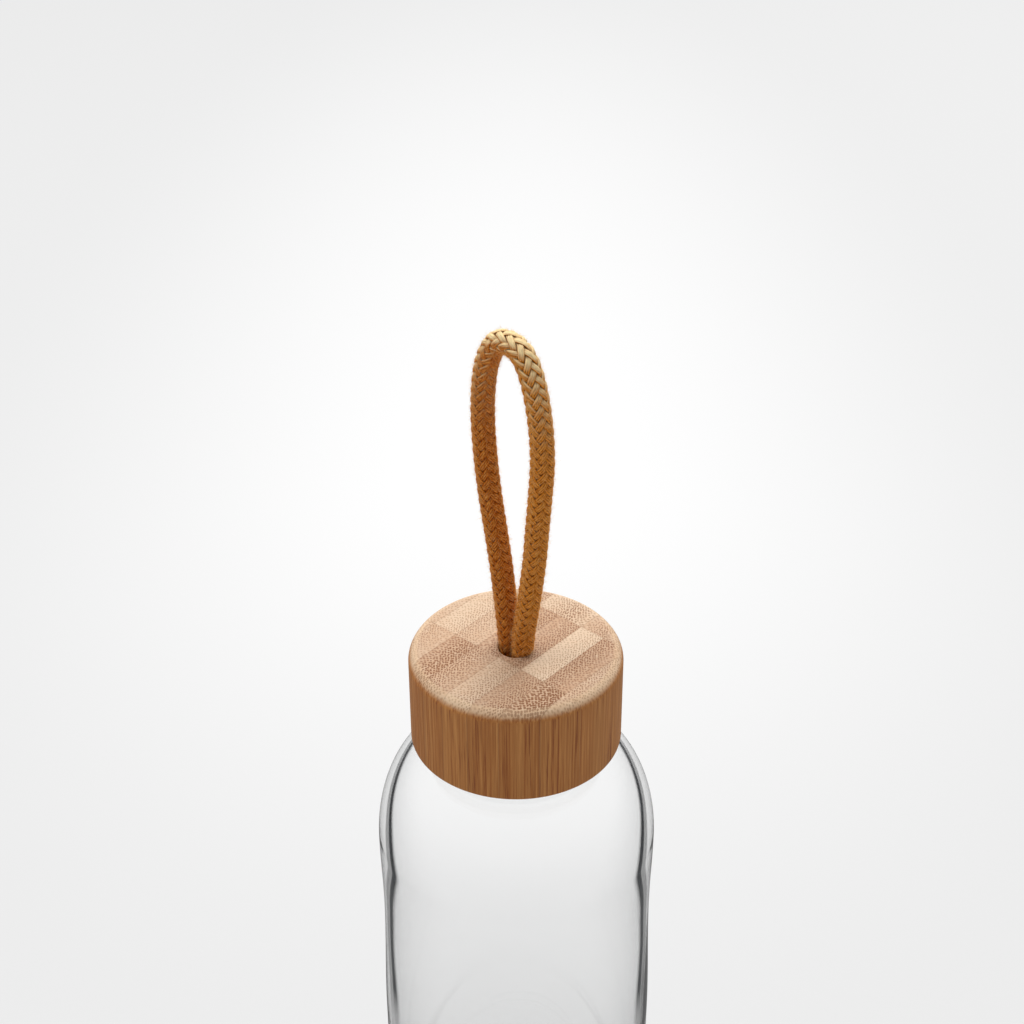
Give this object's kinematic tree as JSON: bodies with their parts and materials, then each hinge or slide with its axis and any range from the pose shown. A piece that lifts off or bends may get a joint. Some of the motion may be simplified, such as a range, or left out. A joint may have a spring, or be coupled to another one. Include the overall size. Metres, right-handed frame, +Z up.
{
  "type": "glass water bottle",
  "caption": "Straight glass water bottle with a round shoulder, closed by a bamboo screw cap that carries a standing braided cord loop.",
  "frame": {"origin": "centre of the base ring that the bottle stands on, at the height of the surface under it", "axes": "+Z up along the bottle's axis; +X and +Y are horizontal, and the cord loop stands in a plane turned 46 degrees from +X towards -Y"},
  "size_m": [0.0688, 0.0688, 0.2911],
  "materials": {
    "glass": "polished clear",
    "bamboo": "satin, fine grain",
    "liner_plastic": "moulded satin",
    "silicone": "matte",
    "cord": "braided cotton"
  },
  "bodies": {
    "bottle": {"glass_body": "glass"},
    "seal": {"seal_gasket": "silicone"},
    "cap": {"bamboo_cap": "bamboo", "thread_insert": "liner_plastic"},
    "cord_base": {"cord_leg_front": "cord", "cord_leg_back": "cord", "cord_knot": "cord"},
    "cord_loop": {"cord_loop": "cord"}
  },
  "joints": [
    {"name": "cap_lift", "type": "slide", "parent": "bottle", "child": "seal", "axis": [0, 0, 1], "range_m": [0, 0.0161]},
    {"name": "cap_turn", "type": "hinge", "parent": "seal", "child": "cap", "pos_m": [0, 0, 0.185], "axis": [0, 0, 1], "range_deg": [0, 1440]},
    {"name": "cord_swivel", "type": "hinge", "parent": "cap", "child": "cord_base", "pos_m": [0, 0, 0.21], "axis": [0, 0, 1], "continuous": true},
    {"name": "loop_tilt", "type": "hinge", "parent": "cord_base", "child": "cord_loop", "pos_m": [0, 0, 0.21275], "axis": [0.6947, -0.7193, 0], "range_deg": [-85, 85], "stiffness_Nm_per_rad": 0.006}
  ],
  "couplings": [
    {"joint": "cap_lift", "follows": "cap_turn", "m_per_rad": 0.00063662}
  ]
}
